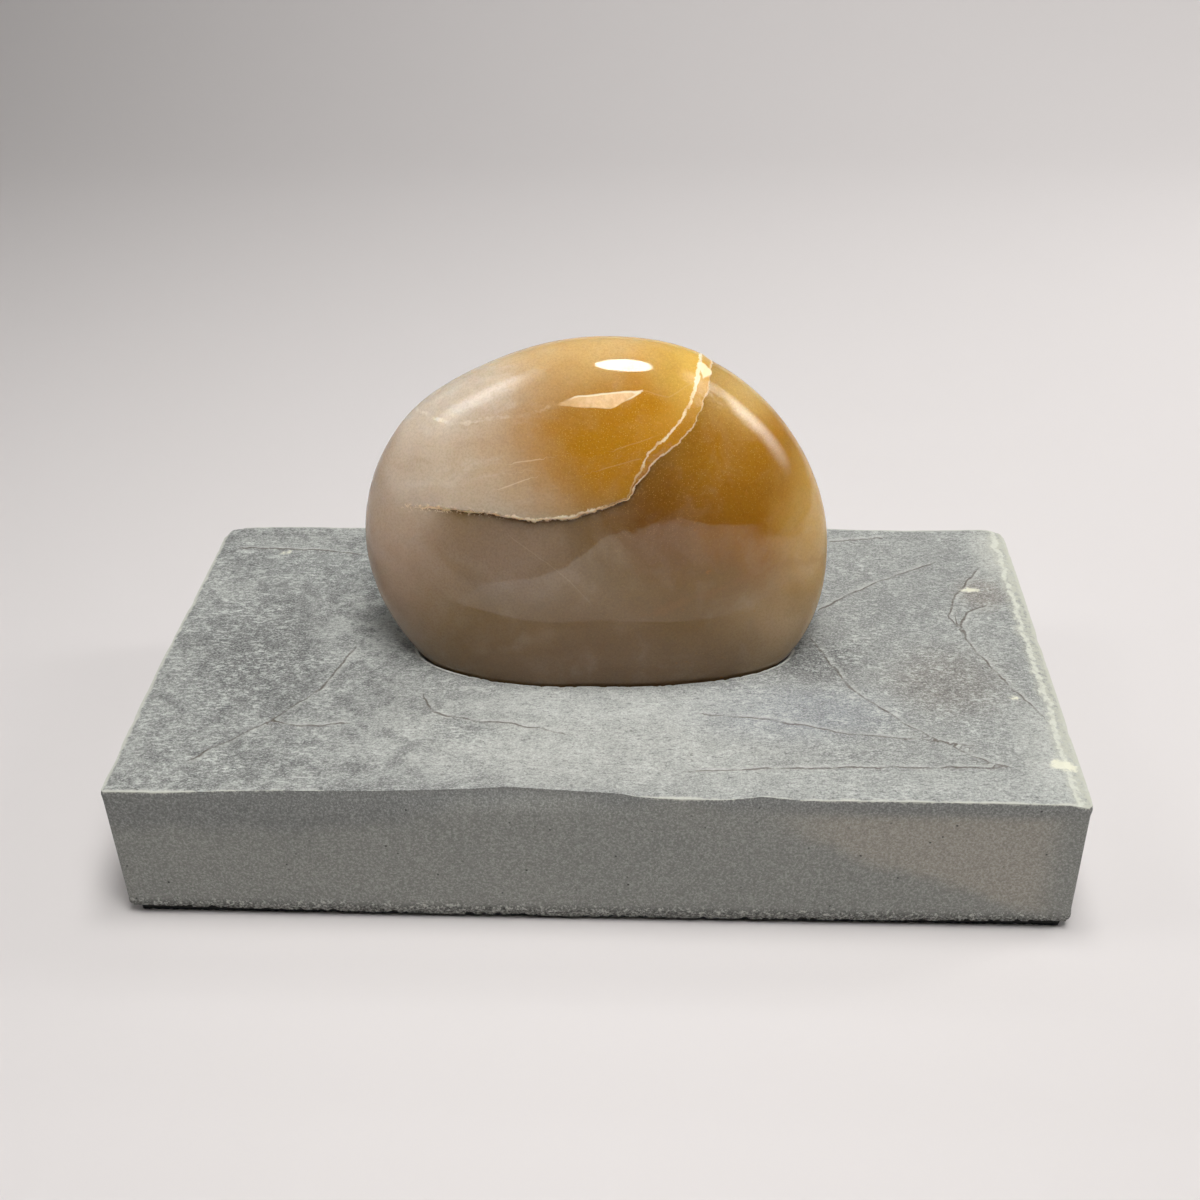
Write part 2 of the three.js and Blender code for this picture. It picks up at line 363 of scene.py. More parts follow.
# %% [markdown]
# ## The stone slab
# The slab is a block of cleft flagstone, sawn on four sides. Its top is the cleft face, with long
# low waves. Its edges are worn and one back corner is broken. It starts as a cube cut into an even
# grid by subdividing its edges in each direction, and only the top and the edges are cut finer.

# %% Slab measures
CORNERS = [
    [(-90, -46.9), (-89.4, -47.5)],
    [(89.2, -47.5), (90, -46.6)],
    [(90, 44.5), (89.4, 46.4), (87.4, 47.5)],
    [(-85.6, 47.5), (-88.9, 46.1), (-90, 43.6)],
]
FRONT_ARRIS_X = (-90, -80, -62, -38, -22, -15, -3, 6, 9, 17, 25, 31, 39, 78, 90)
FRONT_ARRIS_BACK = (0, 0, 0.3, 0.6, 1.0, 1.4, 0.9, 0.6, 0.3, 0, 0.1, 0.5, 0.1, 0.1, 0)
FRONT_ARRIS_UP = (0, -0.2, 0.3, 0.5, 0.9, 1.2, 0.8, 0.6, 0.2, 0, -0.1, 0.4, 0, 0.1, 0)
ARRIS_WEAR_HEIGHT = 5
CLEFT_SKIN = 0.3
ARRIS_LIFT_REACH = 16
# height, run in x, run in y, phase
TOP_WAVES = [(0.35, 31, 58, 0.4), (0.3, -74, 17, 1.3), (0.22, 14, -21, 2.1), (0.16, 9, 12, 0.2)]
BLOCK_CUTS = (119, 63, 19)
EDGE_BAND = 2.4
FRONT_BAND = 1.3
FOOT_BAND = 1.5
FOOT_HEIGHT = 4
SOCKET_BAND = 1.6
HALF_WIDTH = SLAB_WIDTH / 2
HALF_DEPTH = SLAB_DEPTH / 2


def bevel_drop(drop, width, distance):
    return drop * (1 - smooth_step(distance, 0, width))


def top_height(x, y):
    waves = sum(h * np.sin(x / run_x + y / run_y + phase) for h, run_x, run_y, phase in TOP_WAVES)
    from_front = y + HALF_DEPTH
    inland = smooth_step(from_front, 0, ARRIS_LIFT_REACH)
    return (
        SLAB_TOP
        + CLEFT_SKIN
        + waves * (0.35 + 0.65 * inland)
        + (1 - inland) * np.interp(x, FRONT_ARRIS_X, FRONT_ARRIS_UP)
        - bevel_drop(0.7, 5, HALF_WIDTH - x)
        - bevel_drop(0.3, 3, x + HALF_WIDTH)
        - smooth_step(x, 15, 45) * bevel_drop(0.3, 4.5, from_front)
    )


def side_distance(x, y):
    """How far flat points lie inside the nearest side of the block."""
    return np.minimum(HALF_WIDTH - np.abs(x), HALF_DEPTH - np.abs(y))


sample = top_height(*np.mgrid[-80:80:9, -38:40:9])
print("cleft top in mm:", sample.min().round(1), "to", sample.max().round(1))

# %% [markdown]
# The socket's lip is found from the pebble itself: a point of the top face lies outside the
# pebble's section by a distance that the pebble's own formula gives.

# %% Distance from the pebble
def distance_from_pebble(points):
    """About how far points in the slab's frame lie outside the pebble, in mm."""
    place = pebble_place.inverted()
    local = points @ np.array(place.to_3x3()).T + np.array(place.translation)
    scale = half_sizes(local)
    unit = local / scale
    length = np.linalg.norm(unit, axis=1)
    slope = np.linalg.norm(unit / scale, axis=1) / length
    return (length - 1) / slope


# %% Cut the block into cells
def on_top(middles):
    return middles[:, 2] > SLAB_TOP - 0.1


def near_top_edge(middles):
    return (side_distance(*middles.T[:2]) < EDGE_BAND) & (SLAB_TOP - middles[:, 2] < EDGE_BAND)


def near_front_edge(middles):
    return (middles[:, 1] + HALF_DEPTH < FRONT_BAND) & (SLAB_TOP - middles[:, 2] < FRONT_BAND)


def near_lower_edge(middles):
    side = np.minimum(HALF_WIDTH - np.abs(middles[:, 0]), middles[:, 1] + HALF_DEPTH)
    return (side < FOOT_BAND) & (middles[:, 2] < FOOT_HEIGHT)


def near_socket(middles):
    return on_top(middles) & (np.abs(distance_from_pebble(middles)) < SOCKET_BAND)


bm = bmesh.new()
block = Matrix.Translation((0, 0, SLAB_TOP / 2)) @ Matrix.Diagonal((SLAB_WIDTH, SLAB_DEPTH, SLAB_TOP, 1))
bmesh.ops.create_cube(bm, size=1, matrix=block)
for axis, cuts in enumerate(BLOCK_CUTS):
    across = [e for e in bm.edges if abs((e.verts[1].co - e.verts[0].co)[axis]) > 1]
    bmesh.ops.subdivide_edges(bm, edges=across, cuts=cuts, use_grid_fill=True)
split_cells_near(bm, on_top, 1)
split_cells_near(bm, near_top_edge, 1)
split_cells_near(bm, near_front_edge, 1)
split_cells_near(bm, near_lower_edge, 2)
split_cells_near(bm, near_socket, 2)
slab_mesh = mesh_from(bm, "stone_body")
print("slab points:", len(slab_mesh.vertices))

# %% [markdown]
# Wear takes stone away: the sawn faces move back and the rim of the underside moves up, while the
# top follows its cleft waves. The middle of the underside stays flat, and the slab rests on it.

# %% Wear the block
ROUGH_RIM_HEIGHT = 3.2
ROUGH_RIM_REACH = 3


def cut_corners(points):
    for corner in CORNERS:
        for start, end in zip(corner[:-1], corner[1:]):
            run = np.array(end) - np.array(start)
            outward = np.array((run[1], -run[0])) / np.hypot(*run)
            over = np.maximum((points[:, :2] - start) @ outward, 0)
            points[:, :2] -= over[:, None] * outward
    return points


def rim_lift(x):
    return RIM_LIFT + RIM_LIFT_AT_ENDS * (x / HALF_WIDTH) ** 2


def wear_slab(points):
    x, y, z = points.T.copy()
    from_front = y + HALF_DEPTH
    side = side_distance(x, y)
    upper = smooth_step(z, SLAB_TOP / 2, SLAB_TOP)
    rim = 1 - smooth_step(side, *RECESS_AT)
    lower = 1 - smooth_step(z, 0, FOOT_HEIGHT)
    grit = roughness_of(points, 1.6, 4, 7.0)
    points[:, 2] += (top_height(x, y) - SLAB_TOP) * upper + lower * rim * (rim_lift(x) + 0.5 * grit)
    front_back = (1 - smooth_step(from_front, 0, 3)) * np.interp(x, FRONT_ARRIS_X, FRONT_ARRIS_BACK)
    points[:, 1] += front_back * smooth_step(z, SLAB_TOP - ARRIS_WEAR_HEIGHT, SLAB_TOP)
    rough_rim = (1 - smooth_step(z, 0, ROUGH_RIM_HEIGHT)) * (1 - smooth_step(side, 0, ROUGH_RIM_REACH))
    pull = rough_rim * (0.55 + 0.5 * np.abs(grit))
    points[:, 0] -= np.sign(x) * pull * (HALF_WIDTH - np.abs(x) < ROUGH_RIM_REACH)
    points[:, 1] -= np.sign(y) * pull * (HALF_DEPTH - np.abs(y) < ROUGH_RIM_REACH)
    return points


slab = cut_corners(wear_slab(points_of(slab_mesh)))
print("worn block in mm:", np.ptp(slab, axis=0).round(2))

# %% [markdown]
# The top edges are fine chipped lines, not knife edges: each point near them is drawn in by a
# ragged amount. The socket's lip is broken in the same way, with crumbs gone here and there.

# %% Chip the edges and the lip
CHIP_REACH = 4
CHIP_SIZE = 4.5
CHIP_PULL = 0.35
LIP_BAND = 3
LIP_CRUMBLES_OVER = 0.45
CLEFT_RELIEF = 0.09


def arris_distance(x, y, z):
    return np.hypot(np.maximum(side_distance(x, y), 0), np.maximum(top_height(x, y) - z, 0))


arris_mm = arris_distance(*slab.T)
near_arris = arris_mm < CHIP_REACH
chips = np.zeros(len(slab))
chips[near_arris] = roughness_of(slab[near_arris] * (1, 1, 0.3), CHIP_SIZE, 4, 11.0)
gone = np.clip(chips, 0, 1)
bite = (0.3 + 0.5 * gone) * (1 - smooth_step(arris_mm, 0, 0.9 + 0.8 * gone))
inwards_x = -np.sign(slab[:, 0]) * (HALF_WIDTH - np.abs(slab[:, 0]) < 1.5)
inwards_y = -np.sign(slab[:, 1]) * (HALF_DEPTH - np.abs(slab[:, 1]) < 1.5)
slab += bite[:, None] * CHIP_PULL * np.stack((inwards_x, inwards_y, -np.ones(len(slab))), axis=1)

top_points = slab[:, 2] > SLAB_TOP - 2.5
cleft = np.zeros(len(slab))
cleft[top_points] = roughness_of(slab[top_points] * (0.55, 1, 0), 3.0, 4, 2.0)
lip_mm = np.abs(distance_from_pebble(slab))
crumbs = np.zeros(len(slab))
at_lip = top_points & (lip_mm < LIP_BAND)
crumbs[at_lip] = np.clip(roughness_of(slab[at_lip], 1.3, 3, 6.0), 0, 1)
lip_share = np.exp(-np.maximum(lip_mm - SOCKET_GAP, 0) / LIP_CRUMBLES_OVER)
slab[:, 2] += CLEFT_RELIEF * cleft - (0.12 + 0.5 * crumbs) * lip_share * top_points
set_points(slab_mesh, slab * MM)
stone_body = put_in_scene(slab_mesh)
print("deepest chip:", bite.max().round(2), "mm")

# %% [markdown]
# ## The socket
# A copy of the pebble, grown by the small gap of a close fit, is cut out of the slab with a
# Boolean modifier. The modifier is applied at once, so the finished slab is one plain mesh.

# %% Cut the socket
TOOL_SPLITS = 6
tool_mesh, tool_unit = unit_ball("socket_tool", TOOL_SPLITS)
tool_points, _ = pebble_points(tool_unit, SOCKET_GAP)
set_points(tool_mesh, to_slab_frame(tool_points) * MM)
tool = put_in_scene(tool_mesh)
boolean = stone_body.modifiers.new("socket", "BOOLEAN")
boolean.operation = "DIFFERENCE"
boolean.solver = "MANIFOLD"
boolean.object = tool
bpy.context.view_layer.update()
graph = bpy.context.evaluated_depsgraph_get()
cut_mesh = bpy.data.meshes.new_from_object(stone_body.evaluated_get(graph))
stone_body.modifiers.clear()
stone_body.data = cut_mesh
bpy.data.objects.remove(tool)
slab_mesh = cut_mesh
slab_mesh.name = "stone_body"
slab_mesh.materials.clear()
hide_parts("stone_slab")
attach(stone_body, "root")
print("slab with its socket:", len(slab_mesh.vertices), "points,", len(slab_mesh.polygons), "faces")

# %% [markdown]
# ## Marks on the cleft face
# Thin brown veins cross the top face. Each is a line of a few corners in millimetres. The mesh
# stores the signed distance from the nearest vein, which stays exact between points, so the
# material can draw a vein much thinner than a cell.

# %% Veins
VEINS = [
    [(46, 13), (52, 18.5), (59.8, 24.6), (72.8, 33)],
    [(43.5, 2), (45.8, -4), (49.9, -14.3), (59.4, -25.5), (70.3, -34.5), (76, -37.5)],
    [(21.2, -22.9), (34, -24.5), (48.6, -28.8), (60, -29.8), (70.7, -31.4)],
    [(81, 28.9), (75, 19), (72.6, 11), (76.2, -1.8), (81.2, -13.8), (85.5, -21.9)],
    [(80.9, 15.3), (76.3, 12.5), (74.6, 7.6), (74.9, 2.1)],
    [(-50.8, -1.8), (-55.4, -15.8), (-63.3, -25.9), (-75.7, -38.5)],
    [(-63.3, -25.9), (-56, -27.5), (-48.5, -26.3)],
    [(-33.9, -18.9), (-31.5, -23.5), (-24, -25.8), (-14.4, -26.7), (-5.9, -29)],
    [(-84, 38), (-65.5, 36.9), (-46.7, 34)],
    [(50.4, 41.4), (61.9, 43.7)],
    [(18.2, -39.6), (47.8, -38.6), (75.4, -37.7)],
]

CREAM_PATCHES = [
    [(84.2, -37.6), (88.8, -38.1), (89.4, -36.3), (86.8, -34.8), (84.4, -35.4)],
    [(76.4, 21.4), (78.2, 20.5), (80.6, 20.6), (80.4, 21.9), (78.4, 22.9)],
    [(79.7, -17.3), (82, -17.2), (81.8, -16.5), (79.9, -16.4)],
    [(-74.6, 35.3), (-72.6, 35.4), (-72.6, 36.4), (-74.4, 36.5)],
]
slab = points_of(slab_mesh) / MM
wander = 0.45 * roughness_of(slab * (1, 1, 0), 3, 4, 8.0)
vein_mm = nearest_line(slab[:, :2], VEINS) + wander
store(slab_mesh, "vein_mm", vein_mm)
store(slab_mesh, "vein_near", 1 - smooth_step(np.abs(vein_mm), 1.0, 2.2))
patch_mm = np.max([depth_inside(slab[:, :2], patch) for patch in CREAM_PATCHES], axis=0)
store(slab_mesh, "patch_mm", np.maximum(patch_mm, -BEHIND) + 0.6 * wander)
store(slab_mesh, "arris_mm", arris_distance(*slab.T))
store(slab_mesh, "lip_mm", np.abs(distance_from_pebble(slab)))
store(slab_mesh, "recess_mm", rim_lift(slab[:, 0]) - slab[:, 2])
print("veins:", len(VEINS))

# %% [markdown]
# ## Node helpers
# A material here is a recipe, written layer on layer. The recipe holds the tree that is being
# written and the colour that its layers have reached. Each call adds one node, and its inputs are
# numbers or the outputs of earlier nodes. A colour with three parts is as it looks on a screen.

# %% Node helpers
recipe = SimpleNamespace(tree=None, colour=None)


def feed(socket, value):
    if isinstance(value, bpy.types.NodeSocket):
        recipe.tree.links.new(value, socket)
    else:
        socket.default_value = value


def add(kind, inputs=None, **settings):
    node = recipe.tree.nodes.new(kind)
    for name, value in settings.items():
        setattr(node, name, value)
    for name, value in (inputs or {}).items():
        feed(node.inputs[name], value)
    return node


def calc(operation, first, second=0.0, clamp=False):
    return add("ShaderNodeMath", {0: first, 1: second}, operation=operation, use_clamp=clamp).outputs[0]


def both(first, *more):
    """The product of shares, which is where all of them hold."""
    for share in more:
        first = calc("MULTIPLY", first, share)
    return first


def fade(value, low, high, start=0.0, end=1.0):
    inputs = {"Value": value, "From Min": low, "From Max": high, "To Min": start, "To Max": end}
    return add("ShaderNodeMapRange", inputs, interpolation_type="SMOOTHSTEP").outputs["Result"]


def lumps(place, scale, detail=4.0, rough=0.55, distortion=0.0):
    names = ("Vector", "Scale", "Detail", "Roughness", "Distortion")
    values = (place, scale, detail, rough, distortion)
    return add("ShaderNodeTexNoise", dict(zip(names, values))).outputs["Fac"]


def stored(name):
    return add("ShaderNodeAttribute", attribute_name=name).outputs["Fac"]


def paint(red, green, blue):
    """A colour as it looks on a screen, 0 to 255, turned into the light that Blender works with."""
    def light(v):
        v /= 255
        return v / 12.92 if v <= 0.04045 else ((v + 0.055) / 1.055) ** 2.4
    return (light(red), light(green), light(blue), 1.0)


def tint(share, under, over, mode="MIX"):
    under, over = (paint(*c) if isinstance(c, tuple) and len(c) == 3 else c for c in (under, over))
    inputs = {0: share, 6: under, 7: over}
    return add("ShaderNodeMix", inputs, data_type="RGBA", blend_type=mode).outputs[2]


def lay(share, colour, mode="MIX"):
    """Lays a colour over the layers so far."""
    recipe.colour = tint(share, recipe.colour, colour, mode)


def start_material(name, **settings):
    material = bpy.data.materials.new(name)
    material.use_nodes = True
    recipe.tree = material.node_tree
    shader = recipe.tree.nodes["Principled BSDF"]
    for socket, value in settings.items():
        shader.inputs[socket.replace("_", " ")].default_value = value
    return material, shader


def finish_material(shader, height, bump_mm, strength):
    """Gives the shader the colour of all layers and a bump."""
    bump = add("ShaderNodeBump", {"Height": height, "Distance": bump_mm * MM, "Strength": strength})
    feed(shader.inputs["Base Color"], recipe.colour)
    feed(shader.inputs["Normal"], bump.outputs["Normal"])


# %% [markdown]
# Some patterns come back in every stone: a place in millimetres, a soft oval, a thin line by its
# stored distance, and dots in some of the cells of a Voronoi pattern.

# %% Pattern helpers
def place_in_mm(origin=(0, 0, 0), turn=(0, 0, 0)):
    """The place in millimetres from an origin, and its three parts."""
    inputs = {"Location": origin, "Rotation": turn, "Scale": (MM, MM, MM)}
    inputs["Vector"] = add("ShaderNodeTexCoord").outputs["Object"]
    place = add("ShaderNodeMapping", inputs, vector_type="TEXTURE").outputs["Vector"]
    return place, *add("ShaderNodeSeparateXYZ", {"Vector": place}).outputs


def oval(place, name, centre, reach, rim, core, strength=1.0):
    """All of strength inside the core of an oval and 0 past its rim, as shares of its reach."""
    inputs = {"Vector": place, "Location": centre, "Scale": reach}
    local = add("ShaderNodeMapping", inputs, vector_type="TEXTURE", label=name).outputs["Vector"]
    away = add("ShaderNodeVectorMath", {0: local}, operation="LENGTH").outputs["Value"]
    return fade(away, rim, core, 0.0, strength)


def near_line(distance, half_width):
    """1 on a line and 0 past its half width, which may change along it."""
    away = calc("DIVIDE", calc("ABSOLUTE", distance), half_width)
    return fade(away, 1.0, 0.45)


def dots(place, scale, rim, core, none_below, all_above):
    """Round dots in the cells whose random number is high enough."""
    cells = add("ShaderNodeTexVoronoi", {"Vector": place, "Scale": scale})
    number = add("ShaderNodeSeparateColor", {0: cells.outputs["Color"]}).outputs[0]
    return both(fade(cells.outputs["Distance"], rim, core), fade(number, none_below, all_above))


# %% [markdown]
# ## Quartz
# The stone is cloudy: light goes in, spreads and comes out again, so most of the look is
# subsurface scattering under a polished skin. Its colours are soft clouds that run through the
# whole thickness. They are set in the pebble's own frame in millimetres, which a Mapping node of
# type Texture gives from Object coordinates, and a slow noise bends them.

# %% Quartz clouds
LOWER_CLOUDS = [
    # name, centre x and z, reach in x and z, colour, strength
    ("smoky foot", (0, -24), (56, 24), (133, 103, 77), 0.85),
    ("grey under the break", (-14, 2), (36, 15), (153, 133, 117), 0.8),
    ("shade in the middle", (6, 2), (20, 11), (111, 85, 34), 0.6),
    ("beige left flank", (-46, -4), (23, 34), (197, 168, 143), 0.8),
    ("pink right foot", (41, -12), (20, 20), (186, 157, 119), 0.85),
    ("olive gold", (22, -4), (24, 13), (128, 89, 16), 0.6),
    ("brown shade", (18, 12), (25, 17), (120, 73, 17), 0.95),
    ("amber shoulder", (27, 25), (25, 22), (173, 121, 24), 0.95),
    ("amber root", (36, 7), (18, 17), (160, 106, 14), 0.95),
    ("golden right rim", (46, 14), (14, 38), (206, 168, 92), 0.85),
    ("tan right crown", (31, 34), (16, 11), (207, 176, 110), 0.85),
]
UPPER_CLOUDS = [
    ("milky shoulder", (-32, 21), (38, 34), (220, 204, 186), 1.0),
    ("beige left rim", (-48, 16), (13, 30), (184, 160, 136), 0.75),
    ("pink heart", (-20, 17), (24, 16), (201, 180, 152), 0.8),
    ("pale cap", (-26, 34), (27, 13), (207, 196, 180), 0.9),
    ("tan crown", (3, 40), (34, 13), (213, 181, 124), 0.9),
    ("amber heart", (3, 23), (29, 19), (182, 127, 20), 1.0),
    ("gold by the break", (12, 26), (16, 15), (191, 135, 31), 0.9),
    ("golden crown", (20, 37), (13, 11), (206, 168, 76), 0.8),
]
GROUND = (141, 114, 70)

CLOUD_DEPTH = 60
CLOUD_RIM = 1.1
CLOUD_CORE = 0.15
CLOUD_BEND = 11.0

quartz, quartz_shader = start_material(
    "polished_quartz",
    Roughness=0.06,
    IOR=1.54,
    Subsurface_Weight=0.8,
    Subsurface_Scale=0.009,
    Subsurface_Radius=(1.0, 0.7, 0.4),
)
quartz_place, along_x, _, along_z = place_in_mm(PEBBLE_CENTRE * MM, (PEBBLE_LEAN, 0, 0))
break_at = stored("break_mm")
break_here = stored("ledge_share")
bend = add("ShaderNodeTexNoise", {"Vector": quartz_place, "Scale": 0.07, "Detail": 2.0}).outputs["Color"]
bent = add("ShaderNodeVectorMath", {0: bend, 1: (0.5, 0.5, 0.5)}, operation="SUBTRACT").outputs[0]
bent = add("ShaderNodeVectorMath", {0: bent, "Scale": CLOUD_BEND}, operation="SCALE").outputs[0]
cloud_place = add("ShaderNodeVectorMath", {0: quartz_place, 1: bent}, operation="ADD").outputs[0]


def cloud(name, centre, reach):
    """1 in the middle of a cloud, 0 past its reach, at any depth in the stone."""
    (x, z), (reach_x, reach_z) = centre, reach
    return oval(cloud_place, name, (x, 0, z), (reach_x, CLOUD_DEPTH, reach_z), CLOUD_RIM, CLOUD_CORE)


# Above the break is a paler block: partly its own milky stone, partly painted light, since the crack
# keeps in the light that comes down through it. The step is crisp along the crack, soft where it has
# healed.
step = fade(break_at, -0.1, 0.1)
blend = fade(break_at, -12, 6)
sharp_share = fade(break_here, 0.0, 0.8)
upper_block = calc("ADD", both(step, sharp_share), both(blend, calc("SUBTRACT", 1.0, sharp_share)))

recipe.colour = GROUND
for name, centre, reach, cloud_colour, strength in LOWER_CLOUDS:
    lay(both(cloud(name, centre, reach), strength), cloud_colour)
for name, centre, reach, cloud_colour, strength in UPPER_CLOUDS:
    lay(both(cloud(name, centre, reach), strength, upper_block), cloud_colour)
print("clouds in the quartz:", len(LOWER_CLOUDS) + len(UPPER_CLOUDS))

# %% [markdown]
# Faint veils drift through the clouds, and fine slanting streaks through the milky shoulder. Where
# the stone is amber it is full of fine bright grains: about half the cells hold one.

# %% Veils and bright grains
veils = lumps(cloud_place, 0.07, 5.0, 0.6, 0.5)
lay(fade(veils, 0.48, 0.7, 0.0, 0.05), (240, 226, 208))
lay(fade(veils, 0.46, 0.28, 0.0, 0.1), (120, 92, 62), "MULTIPLY")
wisps = lumps(cloud_place, 0.16, 3.0, 0.5)
lay(fade(wisps, 0.5, 0.72, 0.0, 0.04), (236, 224, 208))
lay(fade(wisps, 0.48, 0.3, 0.0, 0.05), (116, 88, 60), "MULTIPLY")
slant = {"Vector": cloud_place, "Rotation": (0, 0.3, 0), "Scale": (0.3, 1, 1)}
drawn_out = add("ShaderNodeMapping", slant).outputs["Vector"]
streaks = lumps(drawn_out, 0.22, 4.0, 0.6)
milky_here = both(upper_block, cloud("milk for the streaks", (-26, 24), (27, 28)))
lay(both(fade(streaks, 0.5, 0.68, 0.0, 0.22), milky_here), (240, 232, 220))
lay(both(fade(streaks, 0.48, 0.32, 0.0, 0.3), milky_here), (186, 158, 128))
amber_here = cloud("amber for the grains", (12, 24), (42, 26))
grains = dots(quartz_place, 3.4, 0.4, 0.12, 0.35, 0.7)
lay(both(grains, fade(amber_here, 0.0, 1.0, 0.08, 0.34)), (250, 212, 122))
lay(fade(lumps(quartz_place, 2.4, 3.0, 0.7), 0.58, 0.36, 0.0, 0.16), (150, 124, 92), "MULTIPLY")

# %% [markdown]
# Stored distances draw the small marks. The stone just under the break is painted in shade,
# because the crack stops the light that comes down through the block above it. The rims of the
# break are thin, broken and pale, partly painted highlight where they catch that light, and a
# painted golden glow of caught light lies behind the upper rim near the crown.

# %% Marks in the quartz
arris_at = stored("arris_mm")
front_here = stored("front_share")
fine = lumps(quartz_place, 1.0, 4.0, 0.7)
broad = lumps(quartz_place, 0.3, 3.0, 0.6)

# painted shade: darker under the break, darkest in a thin painted shadow right under the ledge
below = both(fade(break_at, 0.05, -0.1), break_here, fade(along_x, -39, -31))
lay(both(fade(break_at, -9, -1), below, 0.12), (150, 126, 98), "MULTIPLY")
ledge_shadow = both(fade(break_at, -0.8, -0.1), below, fade(along_z, 22, 14, 0.0, 0.6))
lay(ledge_shadow, (100, 74, 46), "MULTIPLY")

# painted light: a golden glow of light caught in the block behind the upper rim near the crown
high_up = fade(along_z, 21, 31)
glow = both(fade(arris_at, 6.0, 0.3), fade(arris_at, -0.1, 0.1), high_up, front_here)
lay(both(glow, 0.25), (250, 206, 108))
riser = both(fade(arris_at, 0.1, -0.1), fade(break_at, -0.05, 0.1), high_up, break_here)
lay(both(riser, 0.3), (222, 170, 84))

# The pale rims of the break are chipped stone and partly painted highlight, where their edges catch the
# light from above.
lip_here = both(fade(along_x, -19, -14), fade(along_x, 5, -1))
lip_width = add("ShaderNodeMath", {0: lip_here, 1: 0.42, 2: 0.27}, operation="MULTIPLY_ADD").outputs[0]
lip_width = both(lip_width, fade(fine, 0.3, 0.7, 0.35, 1.3))
lip_at = calc("SUBTRACT", break_at, both(lip_here, 0.3))
rim = both(near_line(lip_at, lip_width), fade(break_here, 0.02, 0.3))
rim = both(rim, fade(broad, 0.36, 0.5, 0.55, 1.0), fade(along_z, 17, 24, 1.0, 0.6))
crumbs = both(near_line(break_at, 0.9), fade(along_x, -38, -36), fade(along_x, -12, -20), front_here)
crumbs = both(crumbs, fade(lumps(quartz_place, 1.6, 4.0, 0.75), 0.5, 0.62))
rim = calc("MAXIMUM", rim, crumbs)
lay(both(rim, 0.8), (244, 222, 186))
arris_width = both(fade(fine, 0.3, 0.7, 0.14, 0.42), fade(along_z, 20, 36, 0.8, 1.7))
arris = both(near_line(arris_at, arris_width), fade(along_z, 13, 23, 0.2, 1.0), break_here)
arris = both(arris, fade(broad, 0.32, 0.56, 0.45, 1.0))
lay(both(arris, 0.75), (252, 236, 204))

feather_at = stored("feather_mm")
feather = both(fade(feather_at, -0.08, 0.12), fade(fine, 0.3, 0.7, 0.55, 0.85))
lay(both(feather, fade(along_x, -8, 3, 0.5, 1.0)), (252, 222, 178))
lay(both(near_line(feather_at, 0.2), fade(along_z, 30.6, 31.6, 0.0, 0.7)), (255, 244, 216))
chip = fade(stored("chip_mm"), -0.1, 0.2, 0.0, 0.85)
lay(chip, (255, 238, 200))

cap_width = fade(fine, 0.35, 0.7, 0.15, 0.7)
cap_line = both(near_line(stored("cap_mm"), cap_width), front_here, fade(broad, 0.4, 0.6, 0.05, 0.4))
lay(both(cap_line, fade(along_x, -12, -30, 0.3, 1.0)), (255, 248, 232))
scratch = both(near_line(stored("scratch_mm"), 0.15), front_here, fade(along_x, 2, -4, 0.1, 0.4))
lay(both(scratch, fade(along_z, 8, 13, 0.14, 0.7)), (255, 236, 206))
seam = both(near_line(stored("seam_mm"), fade(broad, 0.35, 0.65, 0.4, 2.2)), front_here, 0.2)
lay(seam, (150, 108, 60))
rust = both(fade(lumps(quartz_place, 0.5, 3.0, 0.6), 0.68, 0.76, 0.0, 0.5), fade(along_x, 5, 24))
lay(rust, (170, 110, 40))

crumbly = calc("MAXIMUM", both(rim, 0.8), calc("MAXIMUM", chip, both(riser, 0.5)))
BROKEN_ROUGHNESS = 0.55
skin = fade(broad, 0.3, 0.8, 0.03, 0.08)
feed(quartz_shader.inputs["Roughness"], tint(crumbly, skin, (BROKEN_ROUGHNESS,) * 3 + (1,)))
relief = calc("ADD", both(fine, 0.003), both(crumbly, fine, 0.3))
finish_material(quartz_shader, relief, 1, 0.5)
quartz_mesh.materials.append(quartz)
print("quartz nodes:", len(recipe.tree.nodes))

# %% [markdown]
# ## Stone grain, shared by the cleft top and the sawn sides
# Both finishes are the same stone, so the fine grain is one node group: grey-green grains, dark
# specks and a height for the bump. Each material sets how coarse and how strong it is.

# %% Stone grain group
def make_grain_group():
    group = bpy.data.node_groups.new("stone_grain", "ShaderNodeTree")
    sockets = (
        ("Place", "INPUT", "NodeSocketVector"),
        ("Colour", "INPUT", "NodeSocketColor"),
        ("Contrast", "INPUT", "NodeSocketFloat"),
        ("Specks", "INPUT", "NodeSocketFloat"),
        ("Colour", "OUTPUT", "NodeSocketColor"),
        ("Height", "OUTPUT", "NodeSocketFloat"),
    )
    for name, side, kind in sockets:
        group.interface.new_socket(name=name, in_out=side, socket_type=kind)
    recipe.tree = group
    given = add("NodeGroupInput").outputs
    recipe.colour = given["Colour"]
    grain = lumps(given["Place"], 2.6, 4.0, 0.8)
    lay(both(fade(grain, 0.56, 0.34), given["Contrast"]), (70, 72, 70))
    lay(both(fade(grain, 0.46, 0.66), given["Contrast"]), (220, 221, 214))
    pit = both(dots(given["Place"], 0.42, 0.13, 0.05, 0.6, 0.9), given["Specks"])
    lay(pit, (44, 44, 44))
    add("NodeGroupOutput", {"Colour": recipe.colour, "Height": calc("SUBTRACT", grain, pit)})
    return group


grain_group = make_grain_group()


def lay_grain(place, contrast, specks):
    """Lays the grain over the layers so far and gives its height."""
    inputs = {"Place": place, "Colour": recipe.colour, "Contrast": contrast, "Specks": specks}
    outputs = add("ShaderNodeGroup", inputs, node_tree=grain_group).outputs
    recipe.colour = outputs["Colour"]
    return outputs["Height"]


